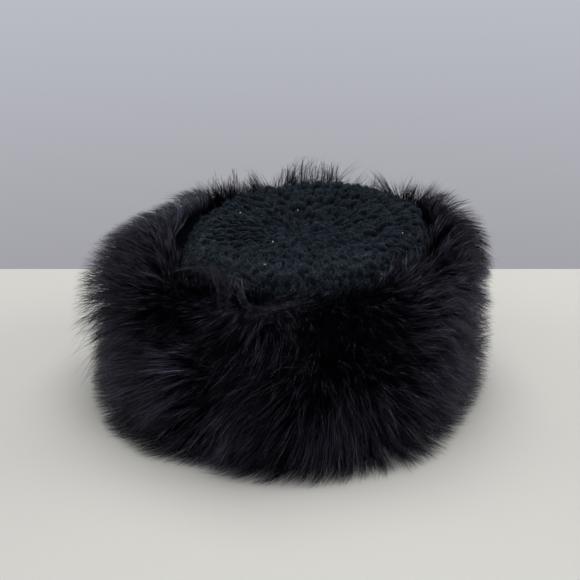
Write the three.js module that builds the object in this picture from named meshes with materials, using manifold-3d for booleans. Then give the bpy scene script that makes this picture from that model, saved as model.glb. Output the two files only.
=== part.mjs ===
// A round fur hat, standing on its hem: a crocheted cap with a dished crown,
// ringed by two strips of long fur, one above the other. Millimetres, +Z up.
// The front of the hat looks along -Y, and the origin is on the ground under its middle.

import * as THREE from "three";
import { mergeVertices } from "three/addons/utils/BufferGeometryUtils.js";
import Module from "manifold-3d";

// Crocheted cap
const HEM_RADIUS = 96; // outside of the side wall at the hem, for a 57 cm head
const CROWN_RADIUS = 82; // outside of the rolled rim
const CROWN_HEIGHT = 110; // ground to the crest of the rim, on average
const YARN_WALL = 5; // thickness of the crocheted fabric
const RIM_ROLL = 11; // radius of the rounded edge between crown and side
const DISH_DEPTH = 9; // how far the middle of the crown sinks below the rim
const CROWN_TILT = 9; // how far the rim rises and falls from its average height
const TILT_AZIMUTH = 55; // degrees, where the rim is highest
const CROWN_LEAN = 14; // how far the crown is pushed sideways over the hem
const ROUND_PITCH = 9; // width of one crocheted round
const ROUND_RELIEF = 1.1; // height of the round's ridge over its groove
const VISIBLE_NECK = 20; // length of side wall with rounds that the fur leaves bare
const DENT_DEPTH = 4; // deepest dent in the crown

// Fur strips
const STRIP_GAP = 0.4; // between the two strips, and between a strip and the cap's wall
const PART_HEIGHT = 57; // height of the parting between the two strips
const FUR_DEPTH = 46; // wall to the outside of the fur, on average
const UNDERFUR = 0.72; // share of that depth which is dense fur, with only locks beyond it
const LOCK_WIDTH = 40; // a lock across, where it leaves the dense fur
const LOCK_THICKNESS = 20; // a lock from its upper to its lower side
const LOCK_ROOT = 9; // length of a lock that is buried in the dense fur
const LOCK_DROOP = 5; // how far the tip of a lock hangs below its straight line
const LOCK_SWING = 22; // degrees that a lock may swing to each side
const LOCK_LIFT = 9; // degrees that a lock may rise or fall from its row
const LOCK_UNEVEN = 0.22; // share by which a lock may be longer or shorter than its row
const LOCK_SHUFFLE = 0.2; // share of the spacing by which a lock may stand out of step
const LOCKS_AROUND = 24; // locks in one row round the hat
const TOE = 0.6; // lowest height of a lock that trails on the ground

// Facets
const FACETS = 44; // steps round the cap and the dense fur
const WALL_STEPS = 3; // steps down the side wall under the bare neck
const INSIDE_STEPS = 10; // steps along the inside of the fabric
const SLOPE_STEP = 0.35; // points along a section over which its slope is taken
const MERGE_TOLERANCE = 1e-4; // vertices closer than this are one
const DEGREE = Math.PI / 180;

// Outline of the fur round the hat. Azimuth 0 is the right side and 270 the front.
// upper and lower are the depth of each strip as shares of FUR_DEPTH,
// lip is the upper strip's inner edge and top its crest, as shares of the rim's height there.
const OUTLINE = [
  { azimuth: 0, upper: 0.97, lower: 0.9, lip: 0.84, top: 0.97 },
  { azimuth: 30, upper: 0.96, lower: 0.88, lip: 0.84, top: 0.94 },
  { azimuth: 60, upper: 0.88, lower: 0.88, lip: 0.74, top: 0.8 },
  { azimuth: 90, upper: 0.9, lower: 0.88, lip: 0.78, top: 0.85 },
  { azimuth: 120, upper: 0.96, lower: 0.92, lip: 0.84, top: 0.91 },
  { azimuth: 150, upper: 1.16, lower: 1.02, lip: 0.9, top: 0.97 },
  { azimuth: 180, upper: 1.62, lower: 1.1, lip: 0.9, top: 0.98 },
  { azimuth: 210, upper: 1.52, lower: 1.18, lip: 0.88, top: 0.95 },
  { azimuth: 240, upper: 1.16, lower: 1.22, lip: 0.88, top: 0.93 },
  { azimuth: 270, upper: 1.0, lower: 1.22, lip: 0.86, top: 0.9 },
  { azimuth: 300, upper: 0.96, lower: 1.12, lip: 0.84, top: 0.92 },
  { azimuth: 330, upper: 0.98, lower: 0.98, lip: 0.82, top: 0.94 },
];

// Dents in the crown. out and width are shares of its radius, and depth of DENT_DEPTH.
const DENTS = [
  { azimuth: 78, out: 0.62, width: 0.2, depth: 1 },
  { azimuth: 48, out: 0.5, width: 0.16, depth: 0.7 },
  { azimuth: 205, out: 0.66, width: 0.3, depth: 0.6 },
  { azimuth: 300, out: 0.55, width: 0.24, depth: 0.5 },
];

// Section through each strip, from its inner edge at the foot and back to it.
// out is a share of the strip's depth, and up a share of its height, from foot to crest.
const UPPER_SECTION = [
  { name: "inner foot", out: 0, up: 0 },
  { name: "inner lip", out: 0, up: "lip" },
  { name: "crest", out: 0.42, up: 1 },
  { name: "shoulder", out: 0.8, up: 0.88 },
  { name: "bulge", out: 1, up: 0.5 },
  { name: "underside", out: 0.96, up: 0.14 },
  { name: "part", out: 0.75, up: 0 },
];
const LOWER_SECTION = [
  { name: "inner foot", out: 0, up: 0 },
  { name: "inner top", out: 0, up: 1 },
  { name: "part", out: 0.72, up: 1 },
  { name: "shoulder", out: 0.93, up: 0.86 },
  { name: "bulge", out: 1, up: 0.5 },
  { name: "foot", out: 0.95, up: 0.12 },
  { name: "sole", out: 0.8, up: 0 },
];

// Rows of locks on each strip. at runs along the section, in points from its first one.
// reach is the length beyond the dense fur as a share of what FUR_DEPTH leaves, and rise
// turns the lock up from the section's own outward direction, in degrees.
const UPPER_LOCKS = [
  { at: 2.1, reach: 1.5, rise: 16 },
  { at: 3.1, reach: 1.85, rise: 10 },
  { at: 4.2, reach: 1.85, rise: 0 },
];
const LOWER_LOCKS = [
  { at: 3.1, reach: 1.7, rise: -14 },
  { at: 4.1, reach: 1.9, rise: -16 },
  { at: 5.3, reach: 2.1, rise: -4 },
];

// Shape of a lock from the dense fur to its tip. along is a share of its length,
// size of its width and thickness where it starts, and drop of LOCK_DROOP.
const LOCK_SHAPE = [
  { along: 0.42, size: 0.6, drop: 0.25 },
  { along: 1, size: 0, drop: 1 },
];

const wasm = await Module();
wasm.setup();

function smoothStep(share) {
  return share * share * (3 - 2 * share);
}

// A column of OUTLINE at any azimuth, in degrees, eased between its rows.
function outlineAt(azimuth, column) {
  const step = 360 / OUTLINE.length;
  const place = (((azimuth % 360) + 360) % 360) / step;
  const first = Math.floor(place) % OUTLINE.length;
  const next = (first + 1) % OUTLINE.length;
  const ease = smoothStep(place - Math.floor(place));
  return OUTLINE[first][column] * (1 - ease) + OUTLINE[next][column] * ease;
}

// Height of the rim's crest at an azimuth.
function crestAt(azimuth) {
  return CROWN_HEIGHT + CROWN_TILT * Math.cos((azimuth - TILT_AZIMUTH) * DEGREE);
}

// A point at a radius, azimuth and height, with the lean of the whole hat.
function placed(radius, azimuth, height) {
  return new THREE.Vector3(
    radius * Math.cos(azimuth * DEGREE) + (CROWN_LEAN * height) / CROWN_HEIGHT,
    radius * Math.sin(azimuth * DEGREE),
    height,
  );
}

// Depth of the dents at a place on the crown, out being its share of the radius.
function dentAt(azimuth, out) {
  return DENTS.reduce((sum, dent) => {
    const turn = (azimuth - dent.azimuth) * DEGREE;
    const away = Math.hypot(out * Math.cos(turn) - dent.out, out * Math.sin(turn));
    return sum + DENT_DEPTH * dent.depth * Math.exp(-((away / dent.width) ** 2));
  }, 0);
}

// Radius of the cap's outside at a height, on its straight side wall.
function wallRadius(azimuth, height) {
  const share = height / (crestAt(azimuth) - RIM_ROLL);
  return HEM_RADIUS + (CROWN_RADIUS - HEM_RADIUS) * Math.min(share, 1);
}

// A point of the cap at an azimuth. travel is the length along the fabric from the
// middle of the crown, and inset is the depth below the outside of the fabric.
function capPoint(azimuth, travel, inset) {
  const crestRadius = CROWN_RADIUS - RIM_ROLL;
  const rollLength = (RIM_ROLL * Math.PI) / 2;
  const crest = crestAt(azimuth);
  if (travel < crestRadius) {
    const share = travel / crestRadius;
    const sunk = DISH_DEPTH * (0.5 + 0.5 * Math.cos(Math.PI * share));
    const dented = sunk + dentAt(azimuth, share) * (1 - smoothStep(share));
    const height = CROWN_HEIGHT + (crest - CROWN_HEIGHT) * share - dented - inset;
    return placed(travel, azimuth, height);
  }
  const roll = RIM_ROLL - inset;
  if (travel < crestRadius + rollLength) {
    const turned = (travel - crestRadius) / RIM_ROLL;
    const height = crest - RIM_ROLL + roll * Math.cos(turned);
    return placed(crestRadius + roll * Math.sin(turned), azimuth, height);
  }
  const wallTop = crest - RIM_ROLL;
  const share = Math.min((travel - crestRadius - rollLength) / wallTop, 1);
  const height = wallTop * (1 - share);
  return placed(wallRadius(azimuth, height) - inset, azimuth, height);
}

// Length along the fabric from the middle of the crown to the hem.
function fabricLength() {
  return CROWN_RADIUS - RIM_ROLL + (RIM_ROLL * Math.PI) / 2 + CROWN_HEIGHT + CROWN_TILT;
}

// One closed solid through rows of points. A row of one point is a pole, and rows
// that wrap join the last to the first. Its faces are turned to point outwards.
function skin(rows, wraps) {
  const starts = [];
  const positions = [];
  for (const row of rows) {
    starts.push(positions.length / 3);
    row.forEach((point) => positions.push(point.x, point.y, point.z));
  }
  const faces = [];
  const count = wraps ? rows.length : rows.length - 1;
  for (let r = 0; r < count; r++) {
    const next = (r + 1) % rows.length;
    const [near, far] = [rows[r], rows[next]];
    const around = Math.max(near.length, far.length);
    for (let i = 0; i < around; i++) {
      const j = (i + 1) % around;
      const a = starts[r] + (near.length > 1 ? i : 0);
      const b = starts[r] + (near.length > 1 ? j : 0);
      const c = starts[next] + (far.length > 1 ? j : 0);
      const d = starts[next] + (far.length > 1 ? i : 0);
      if (a !== b) faces.push(a, b, c);
      if (c !== d) faces.push(a, c, d);
    }
  }
  const geometry = new THREE.BufferGeometry();
  geometry.setAttribute("position", new THREE.Float32BufferAttribute(positions, 3));
  geometry.setIndex(faces);
  return signedVolume(geometry) < 0 ? turnedRound(geometry) : geometry;
}

function signedVolume(geometry) {
  const { position } = geometry.attributes;
  const [a, b, c] = [new THREE.Vector3(), new THREE.Vector3(), new THREE.Vector3()];
  let volume = 0;
  for (let i = 0; i < geometry.index.count; i += 3) {
    a.fromBufferAttribute(position, geometry.index.getX(i));
    b.fromBufferAttribute(position, geometry.index.getX(i + 1));
    c.fromBufferAttribute(position, geometry.index.getX(i + 2));
    volume += a.dot(b.cross(c)) / 6;
  }
  return volume;
}

function turnedRound(geometry) {
  const faces = Array.from(geometry.index.array);
  for (let i = 0; i < faces.length; i += 3) {
    [faces[i + 1], faces[i + 2]] = [faces[i + 2], faces[i + 1]];
  }
  geometry.setIndex(faces);
  return geometry;
}

function azimuthsAround(count) {
  return Array.from({ length: count }, (_, i) => (360 * i) / count);
}

// Crocheted cap: dished crown, rolled rim and side wall in one fabric. The rounds
// show as ridges on the crown, the rim and the bare neck under it.
function crochetedCap() {
  const azimuths = azimuthsAround(FACETS);
  const length = fabricLength();
  const ridged = CROWN_RADIUS - RIM_ROLL + (RIM_ROLL * Math.PI) / 2 + VISIBLE_NECK;
  const rounds = Math.round(ridged / ROUND_PITCH);
  const rows = [[capPoint(0, 0, 0)]];
  for (let half = 1; half <= 2 * rounds; half++) {
    const travel = (ridged * half) / (2 * rounds);
    const inset = half % 2 ? 0 : ROUND_RELIEF;
    rows.push(azimuths.map((azimuth) => capPoint(azimuth, travel, inset)));
  }
  for (let step = 1; step <= WALL_STEPS; step++) {
    const travel = ridged + ((length - ridged) * step) / WALL_STEPS;
    rows.push(azimuths.map((azimuth) => capPoint(azimuth, travel, 0)));
  }
  for (let step = 0; step < INSIDE_STEPS; step++) {
    const travel = (length * (INSIDE_STEPS - step)) / INSIDE_STEPS;
    rows.push(azimuths.map((azimuth) => capPoint(azimuth, travel, YARN_WALL)));
  }
  rows.push([capPoint(0, 0, YARN_WALL)]);
  return skin(rows, false);
}

// The two strips differ in their sections, their rows of locks and their ends in height.
const UPPER_STRIP = {
  section: UPPER_SECTION,
  locks: UPPER_LOCKS,
  depth: "upper",
  lowest: PART_HEIGHT + STRIP_GAP,
  highest: Infinity,
  foot: () => PART_HEIGHT + STRIP_GAP,
  crest: (azimuth) => crestAt(azimuth) * outlineAt(azimuth, "top"),
  lip: (azimuth) => crestAt(azimuth) * outlineAt(azimuth, "lip"),
};
const LOWER_STRIP = {
  section: LOWER_SECTION,
  locks: LOWER_LOCKS,
  depth: "lower",
  lowest: TOE,
  highest: PART_HEIGHT,
  foot: () => 0,
  crest: () => PART_HEIGHT,
};

// A point on the dense fur of a strip: at is a place along its section, in points.
function stripPoint(strip, azimuth, at) {
  const count = strip.section.length;
  const first = Math.floor(at) % count;
  const share = at - Math.floor(at);
  const [from, to] = [strip.section[first], strip.section[(first + 1) % count]];
  const [near, far] = [from, to].map((point) => sectionPoint(strip, azimuth, point));
  return near.lerp(far, share);
}

function sectionPoint(strip, azimuth, point) {
  const foot = strip.foot(azimuth);
  const crest = strip.crest(azimuth);
  const height = point.up === "lip" ? strip.lip(azimuth) : foot + (crest - foot) * point.up;
  const wall = wallRadius(azimuth, height) + STRIP_GAP;
  const depth = FUR_DEPTH * UNDERFUR * outlineAt(azimuth, strip.depth);
  return placed(wall + depth * point.out, azimuth, height);
}

// The way out of the dense fur at a place on its section, square to the section.
function outwardAt(strip, azimuth, at) {
  const ahead = stripPoint(strip, azimuth, at + SLOPE_STEP);
  const along = ahead.sub(stripPoint(strip, azimuth, at - SLOPE_STEP));
  const around = new THREE.Vector3(-Math.sin(azimuth * DEGREE), Math.cos(azimuth * DEGREE), 0);
  return around.cross(along).normalize();
}

// A share from -1 to 1 for a lock, for one way in which it differs from its row. It is
// the last digits of a steep sine, so it looks unordered and is the same every time.
function stray(index, way) {
  const wave = Math.sin(index * 12.9898 + way * 78.233) * 43758.5453;
  return 2 * (wave - Math.floor(wave)) - 1;
}

// One lock of fur: a flat tapering tuft with four sides that droops to its tip.
function lock(strip, row, azimuth, index) {
  const root = stripPoint(strip, azimuth, row.at);
  const around = new THREE.Vector3(-Math.sin(azimuth * DEGREE), Math.cos(azimuth * DEGREE), 0);
  const swing = LOCK_SWING * stray(index, 1);
  const rise = row.rise + LOCK_LIFT * stray(index, 2);
  const outward = outwardAt(strip, azimuth, row.at)
    .applyAxisAngle(around, -rise * DEGREE)
    .addScaledVector(around, Math.tan(swing * DEGREE))
    .normalize();
  const depth = FUR_DEPTH * outlineAt(azimuth, strip.depth);
  const length = depth * (1 - UNDERFUR) * row.reach * (1 + LOCK_UNEVEN * stray(index, 3));
  const across = around.clone().addScaledVector(outward, -around.dot(outward)).normalize();
  const upward = outward.clone().cross(across);
  const corners = [
    [LOCK_WIDTH / 2, 0],
    [0, LOCK_THICKNESS / 2],
    [-LOCK_WIDTH / 2, 0],
    [0, -LOCK_THICKNESS / 2],
  ];
  const rings = [
    { reach: -LOCK_ROOT, size: 0, drop: 0 },
    { reach: -LOCK_ROOT, size: 1, drop: 0 },
    ...LOCK_SHAPE.map(({ along, size, drop }) => ({ reach: length * along, size, drop })),
  ];
  const rows = rings.map(({ reach, size, drop }) => {
    const middle = root.clone().addScaledVector(outward, reach);
    middle.z -= LOCK_DROOP * drop;
    if (size === 0) return [heldBetween(strip, middle)];
    return corners.map(([side, height]) => {
      const corner = middle.clone().addScaledVector(across, side * size);
      return heldBetween(strip, corner.addScaledVector(upward, height * size));
    });
  });
  return skin(rows, false);
}

// A point kept above the ground and on its own side of the parting.
function heldBetween(strip, point) {
  point.z = Math.min(Math.max(point.z, strip.lowest), strip.highest);
  return point;
}

function toManifold(geometry) {
  const merged = mergeVertices(geometry, MERGE_TOLERANCE);
  const mesh = new wasm.Mesh({
    numProp: 3,
    vertProperties: new Float32Array(merged.attributes.position.array),
    triVerts: new Uint32Array(merged.index.array),
  });
  return new wasm.Manifold(mesh);
}

function toGeometry(solid) {
  const { vertProperties, triVerts } = solid.getMesh();
  const geometry = new THREE.BufferGeometry();
  geometry.setAttribute("position", new THREE.BufferAttribute(vertProperties, 3));
  geometry.setIndex(new THREE.BufferAttribute(triVerts, 1));
  return geometry;
}

// A strip of fur: a ring of dense fur with rows of locks fused to it.
function furStrip(strip) {
  const azimuths = azimuthsAround(FACETS);
  const rows = strip.section.map((point) =>
    azimuths.map((azimuth) => sectionPoint(strip, azimuth, point)),
  );
  let fur = toManifold(skin(rows, true));
  strip.locks.forEach((row, tier) => {
    for (let i = 0; i < LOCKS_AROUND; i++) {
      const index = tier * LOCKS_AROUND + i;
      const shift = 0.5 * (tier % 2) + LOCK_SHUFFLE * stray(index, 4);
      const azimuth = ((i + shift) * 360) / LOCKS_AROUND;
      fur = fur.add(toManifold(lock(strip, row, azimuth, index)));
    }
  });
  return toGeometry(fur);
}

function mesh(name, geometry, finish) {
  const made = new THREE.Mesh(geometry, new THREE.MeshStandardMaterial(finish));
  made.name = name;
  return made;
}

const YARN = { color: 0x1f2a33, roughness: 0.95, metalness: 0 };
const FUR = { color: 0x16151a, roughness: 0.7, metalness: 0 };

const hat = new THREE.Group();
hat.add(mesh("crochet_cap", crochetedCap(), YARN));
hat.add(mesh("upper_fur_strip", furStrip(UPPER_STRIP), FUR));
hat.add(mesh("lower_fur_strip", furStrip(LOWER_STRIP), FUR));

// The middle of the hat's outline, fur included, stands over the origin.
const box = new THREE.Box3().setFromObject(hat);
const middle = box.getCenter(new THREE.Vector3());
hat.position.set(-middle.x, -middle.y, 0);

export default hat;
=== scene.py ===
"""A round fur hat with a crocheted crown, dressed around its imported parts.

The hat stands on its hem on a pale table. Lengths are in metres, +Z is up and -Y is the
front. Azimuths are in degrees: 0 is the hat's right side, 90 its back and 270 its front.
"""

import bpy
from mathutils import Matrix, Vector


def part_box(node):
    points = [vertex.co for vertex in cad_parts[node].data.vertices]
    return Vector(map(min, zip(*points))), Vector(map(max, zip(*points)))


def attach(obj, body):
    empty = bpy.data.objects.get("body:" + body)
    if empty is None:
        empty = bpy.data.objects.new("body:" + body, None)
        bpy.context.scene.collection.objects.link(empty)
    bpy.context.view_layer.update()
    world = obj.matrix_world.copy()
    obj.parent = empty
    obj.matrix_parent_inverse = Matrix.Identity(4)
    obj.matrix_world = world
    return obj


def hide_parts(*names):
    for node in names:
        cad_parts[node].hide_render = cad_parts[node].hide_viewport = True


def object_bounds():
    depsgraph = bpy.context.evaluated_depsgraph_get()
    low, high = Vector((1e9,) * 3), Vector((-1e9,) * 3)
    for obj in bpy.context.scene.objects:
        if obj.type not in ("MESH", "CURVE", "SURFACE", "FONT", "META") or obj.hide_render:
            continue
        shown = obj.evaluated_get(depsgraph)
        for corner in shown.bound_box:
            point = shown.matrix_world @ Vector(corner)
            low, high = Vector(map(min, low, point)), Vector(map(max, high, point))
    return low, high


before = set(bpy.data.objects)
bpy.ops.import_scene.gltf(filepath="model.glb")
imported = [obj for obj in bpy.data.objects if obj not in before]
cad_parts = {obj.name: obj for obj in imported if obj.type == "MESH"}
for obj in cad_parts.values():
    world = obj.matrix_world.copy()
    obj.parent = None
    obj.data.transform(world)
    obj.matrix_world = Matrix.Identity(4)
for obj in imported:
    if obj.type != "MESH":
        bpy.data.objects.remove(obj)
cad_box = [list(corner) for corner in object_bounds()]

import logging
import math
from dataclasses import dataclass, field
from enum import Enum

import bpy
import numpy as np
from mathutils import Vector, noise
from mathutils.bvhtree import BVHTree

log = logging.getLogger("fur_hat")
MM = 0.001


class Slot(Enum):
    """The record's material slots."""

    YARN = "yarn"
    FUR = "fur"


# Colours and nodes


def linear(hex_colour: str) -> tuple[float, float, float, float]:
    """Turns an sRGB colour into the linear one that a shader takes.

    Args:
        hex_colour: six hexadecimal digits after a hash sign.

    Returns:
        Red, green, blue and an alpha of 1.
    """
    shares = [int(hex_colour[i : i + 2], 16) / 255 for i in (1, 3, 5)]
    red, green, blue = [
        share / 12.92 if share <= 0.04045 else ((share + 0.055) / 1.055) ** 2.4
        for share in shares
    ]
    return red, green, blue, 1.0


def add_node(
    tree: bpy.types.NodeTree,
    kind: str,
    settings: dict[str, object] | None = None,
    values: dict[str, object] | None = None,
) -> bpy.types.Node:
    """Adds one node with its settings, its input values and its links.

    Args:
        tree: the node tree that gets the node.
        kind: Blender's name for the node's type.
        settings: the node's own properties.
        values: a value, or an output socket to link, for each named input.

    Returns:
        The new node.
    """
    node = tree.nodes.new(kind)
    for name, value in (settings or {}).items():
        setattr(node, name, value)
    for name, value in (values or {}).items():
        if isinstance(value, bpy.types.NodeSocket):
            tree.links.new(value, node.inputs[name])
        else:
            node.inputs[name].default_value = value
    return node


def new_material(name: str) -> tuple[bpy.types.Material, bpy.types.NodeTree]:
    """Makes an empty material with nodes.

    Args:
        name: what the finish really is.

    Returns:
        The material and its empty node tree.
    """
    material = bpy.data.materials.new(name)
    material.use_nodes = True
    material.node_tree.nodes.clear()
    return material, material.node_tree


def close_material(tree: bpy.types.NodeTree, shader: bpy.types.Node) -> None:
    """Links the shader to the material's output.

    Args:
        tree: the material's node tree.
        shader: its last shader node.
    """
    add_node(tree, "ShaderNodeOutputMaterial", values={"Surface": shader.outputs[0]})


@dataclass(frozen=True)
class DyedHair:
    """Dyed animal hair, smooth and waxy: each hair shows a narrow streak of light along it."""

    name: str
    root: str
    tip: str
    roughness: float
    ior: float = 1.55  # keratin
    glint: str = "#DCD9FF"  # the dye's faint violet in the light that it throws back

    def material(self) -> bpy.types.Material:
        """Makes the hair's material, darker towards the root and different on each hair, with painted light
        and shade: its tone scales the colour and the gloss.
        """
        material, tree = new_material(self.name)
        along = add_node(tree, "ShaderNodeAttribute", {"attribute_name": "along"})
        tone = add_node(tree, "ShaderNodeAttribute", {"attribute_name": "tone"})
        colour = add_node(
            tree,
            "ShaderNodeMix",
            {"data_type": "RGBA"},
            {"Factor": along.outputs["Fac"]},
        )
        colour.inputs["A"].default_value = linear(self.root)
        colour.inputs["B"].default_value = linear(self.tip)
        # painted light and shade: the hair's tone lightens it where it should catch the light and darkens
        # it in hollows where shade falls
        colour_with_painted_light = add_node(
            tree,
            "ShaderNodeHueSaturation",
            values={"Value": tone.outputs["Fac"], "Color": colour.outputs["Result"]},
        )
        # the gloss follows the same painted light and shade
        gloss_with_painted_light = add_node(tree, "ShaderNodeMapRange", values={"Value": tone.outputs["Fac"]})
        gloss_with_painted_light.inputs["From Max"].default_value = 2.0
        shader = add_node(
            tree,
            "ShaderNodeBsdfPrincipled",
            values={
                "Base Color": colour_with_painted_light.outputs["Color"],
                "Roughness": self.roughness,
                "IOR": self.ior,
                "Specular IOR Level": gloss_with_painted_light.outputs["Result"],
                "Specular Tint": linear(self.glint),
            },
        )
        close_material(tree, shader)
        return material


@dataclass(frozen=True)
class Underfur:
    """Matted underfur close to the pelt: it takes nearly all light and shows only dark fluff."""

    name: str = "underfur_matted"
    dark: str = "#02040A"
    light: str = "#050812"
    tuft: float = 2.5 * MM

    def material(self) -> bpy.types.Material:
        """Makes the material of the dense fur under the hairs."""
        material, tree = new_material(self.name)
        place = add_node(tree, "ShaderNodeTexCoord")
        fluff = add_node(
            tree,
            "ShaderNodeTexNoise",
            values={
                "Vector": place.outputs["Object"],
                "Scale": 1 / self.tuft,
                "Detail": 4.0,
            },
        )
        colour = add_node(
            tree,
            "ShaderNodeMix",
            {"data_type": "RGBA"},
            {"Factor": fluff.outputs["Fac"]},
        )
        colour.inputs["A"].default_value = linear(self.dark)
        colour.inputs["B"].default_value = linear(self.light)
        bump = add_node(
            tree,
            "ShaderNodeBump",
            values={
                "Height": fluff.outputs["Fac"],
                "Distance": 1.5 * MM,
                "Strength": 1.0,
            },
        )
        shader = add_node(
            tree,
            "ShaderNodeBsdfPrincipled",
            values={
                "Base Color": colour.outputs["Result"],
                "Roughness": 0.95,
                "Specular IOR Level": 0.05,
                "Normal": bump.outputs["Normal"],
            },
        )
        close_material(tree, shader)
        return material


@dataclass(frozen=True)
class WoolYarn:
    """Chunky spun wool, dyed a dark petrol blue: matt, with a soft halo of loose fibres."""

    name: str
    dark: str = "#02050A"
    light: str = "#111C28"
    mottle: float = 4 * MM  # where the dye took unevenly
    fibre: float = 1.0 * MM  # real wool fibres are finer than the render can show
    fibre_stretch: float = 0.3  # how much slower the relief changes along the yarn

    def material(self) -> bpy.types.Material:
        """Makes the yarn's material: uneven dye, fibres in relief and a woolly sheen."""
        material, tree = new_material(self.name)
        place = add_node(tree, "ShaderNodeTexCoord")
        dye = add_node(
            tree,
            "ShaderNodeTexNoise",
            values={
                "Vector": place.outputs["Object"],
                "Scale": 1 / self.mottle,
                "Detail": 3.0,
            },
        )
        strands = add_node(tree, "ShaderNodeAttribute", {"attribute_name": "fibre"})
        fibres = add_node(
            tree,
            "ShaderNodeTexNoise",
            values={
                "Vector": strands.outputs["Vector"],
                "Scale": 1 / self.fibre,
                "Detail": 3.0,
                "Distortion": 0.6,
            },
        )
        spread = add_node(
            tree,
            "ShaderNodeMath",
            {"operation": "MULTIPLY_ADD"},
        )
        tree.links.new(fibres.outputs["Fac"], spread.inputs[0])
        spread.inputs[1].default_value = 0.5
        tree.links.new(dye.outputs["Fac"], spread.inputs[2])
        edged = add_node(
            tree,
            "ShaderNodeMapRange",
            values={
                "Value": spread.outputs[0],
                "From Min": 0.45,
                "From Max": 1.0,
            },
        )
        colour = add_node(
            tree,
            "ShaderNodeMix",
            {"data_type": "RGBA"},
            {"Factor": edged.outputs["Result"]},
        )
        colour.inputs["A"].default_value = linear(self.dark)
        colour.inputs["B"].default_value = linear(self.light)
        bump = add_node(
            tree,
            "ShaderNodeBump",
            values={
                "Height": fibres.outputs["Fac"],
                "Distance": 0.9 * MM,
                "Strength": 0.9,
            },
        )
        shader = add_node(
            tree,
            "ShaderNodeBsdfPrincipled",
            values={
                "Base Color": colour.outputs["Result"],
                "Roughness": 0.92,
                "Specular IOR Level": 0.2,
                "Sheen Weight": 0.16,
                "Sheen Roughness": 0.5,
                "Sheen Tint": linear("#7F9BB0"),
                "Normal": bump.outputs["Normal"],
            },
        )
        close_material(tree, shader)
        return material


@dataclass(frozen=True)
class PlainSurface:
    """A plain finish with one colour, such as a lacquered table or a bit of tinsel."""

    name: str
    colour: str
    roughness: float
    metallic: float = 0.0

    def material(self) -> bpy.types.Material:
        """Makes the plain material."""
        material, tree = new_material(self.name)
        shader = add_node(
            tree,
            "ShaderNodeBsdfPrincipled",
            values={
                "Base Color": linear(self.colour),
                "Roughness": self.roughness,
                "Metallic": self.metallic,
            },
        )
        close_material(tree, shader)
        return material


# Meshes from arrays


def unit(vectors: np.ndarray) -> np.ndarray:
    """Scales vectors along the last axis to length 1."""
    lengths = np.linalg.norm(vectors, axis=-1, keepdims=True)
    return vectors / np.maximum(lengths, 1e-12)


def add_mesh(
    name: str,
    points: np.ndarray,
    faces: np.ndarray,
    material: bpy.types.Material,
    marks: dict[str, np.ndarray] | None = None,
) -> bpy.types.Object:
    """Makes a smooth mesh object from arrays.

    Args:
        name: the piece's name.
        points: n by 3 places.
        faces: m by 3 or m by 4 corners.
        material: its finish.
        marks: a value for each point under each attribute's name.

    Returns:
        The new object, linked to the scene.
    """
    mesh = bpy.data.meshes.new(name)
    mesh.vertices.add(len(points))
    mesh.vertices.foreach_set("co", points.astype(np.float32).ravel())
    corners = faces.shape[1]
    mesh.loops.add(faces.size)
    mesh.loops.foreach_set("vertex_index", faces.astype(np.int32).ravel())
    mesh.polygons.add(len(faces))
    starts = np.arange(0, faces.size, corners, dtype=np.int32)
    mesh.polygons.foreach_set("loop_start", starts)
    for mark, values in (marks or {}).items():
        kind, field_name = ("FLOAT", "value") if values.ndim == 1 else ("FLOAT_VECTOR", "vector")
        attribute = mesh.attributes.new(mark, kind, "POINT")
        attribute.data.foreach_set(field_name, values.astype(np.float32).ravel())
    mesh.update(calc_edges=True)
    mesh.validate()
    mesh.shade_smooth()
    mesh.materials.append(material)
    piece = bpy.data.objects.new(name, mesh)
    bpy.context.scene.collection.objects.link(piece)
    return piece


def tube_faces(rings: int, sides: int, pointed: bool) -> np.ndarray:
    """Lists the triangles of one closed tube.

    Args:
        rings: rings of points along it, the last one a single point if it is pointed.
        sides: points in a ring.
        pointed: whether it ends in a point rather than a flat cap.

    Returns:
        The triangles, by the tube's own point numbers.
    """
    faces = [(0, i + 1, i) for i in range(1, sides - 1)]
    full = rings - 1 if pointed else rings
    for ring in range(full - 1):
        for i in range(sides):
            a, b = ring * sides + i, ring * sides + (i + 1) % sides
            faces += [(a, b, b + sides), (a, b + sides, a + sides)]
    last = (full - 1) * sides
    if pointed:
        faces += [(last + i, last + (i + 1) % sides, full * sides) for i in range(sides)]
    else:
        faces += [(last, last + i, last + i + 1) for i in range(1, sides - 1)]
    return np.array(faces)


def tubes(
    paths: np.ndarray, radii: np.ndarray, sides: int, pointed: bool, hints: np.ndarray
) -> tuple[np.ndarray, np.ndarray]:
    """Builds many closed tubes along paths of the same number of points.

    Args:
        paths: n by k by 3 centre points.
        radii: n by k radii.
        sides: points in a ring.
        pointed: whether the last point of each path is the tube's point.
        hints: n by 3 directions, none along its path, that set how the rings are turned.

    Returns:
        The points and the triangles.
    """
    count, rings = paths.shape[:2]
    along = unit(np.gradient(paths, axis=1))
    across = unit(np.cross(along, hints[:, None, :]))
    upward = np.cross(across, along)
    turns = np.arange(sides) * 2 * np.pi / sides
    spokes = (
        across[:, :, None, :] * np.cos(turns)[None, None, :, None]
        - upward[:, :, None, :] * np.sin(turns)[None, None, :, None]
    )
    points = paths[:, :, None, :] + spokes * radii[:, :, None, None]
    each = points.reshape(count, rings * sides, 3)
    if pointed:
        each = np.concatenate([each[:, : (rings - 1) * sides], paths[:, -1:]], axis=1)
    faces = tube_faces(rings, sides, pointed)
    offsets = np.arange(count)[:, None, None] * each.shape[1]
    return each.reshape(-1, 3), (faces[None] + offsets).reshape(-1, 3)


# The hat's form


@dataclass(frozen=True)
class OutlineRow:
    """The fur at one azimuth. upper and lower are the strips' depths as shares of the fur's
    depth, and lip and top the upper strip's inner edge and crest as shares of the rim's height."""

    azimuth: float
    upper: float
    lower: float
    lip: float
    top: float


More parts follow.
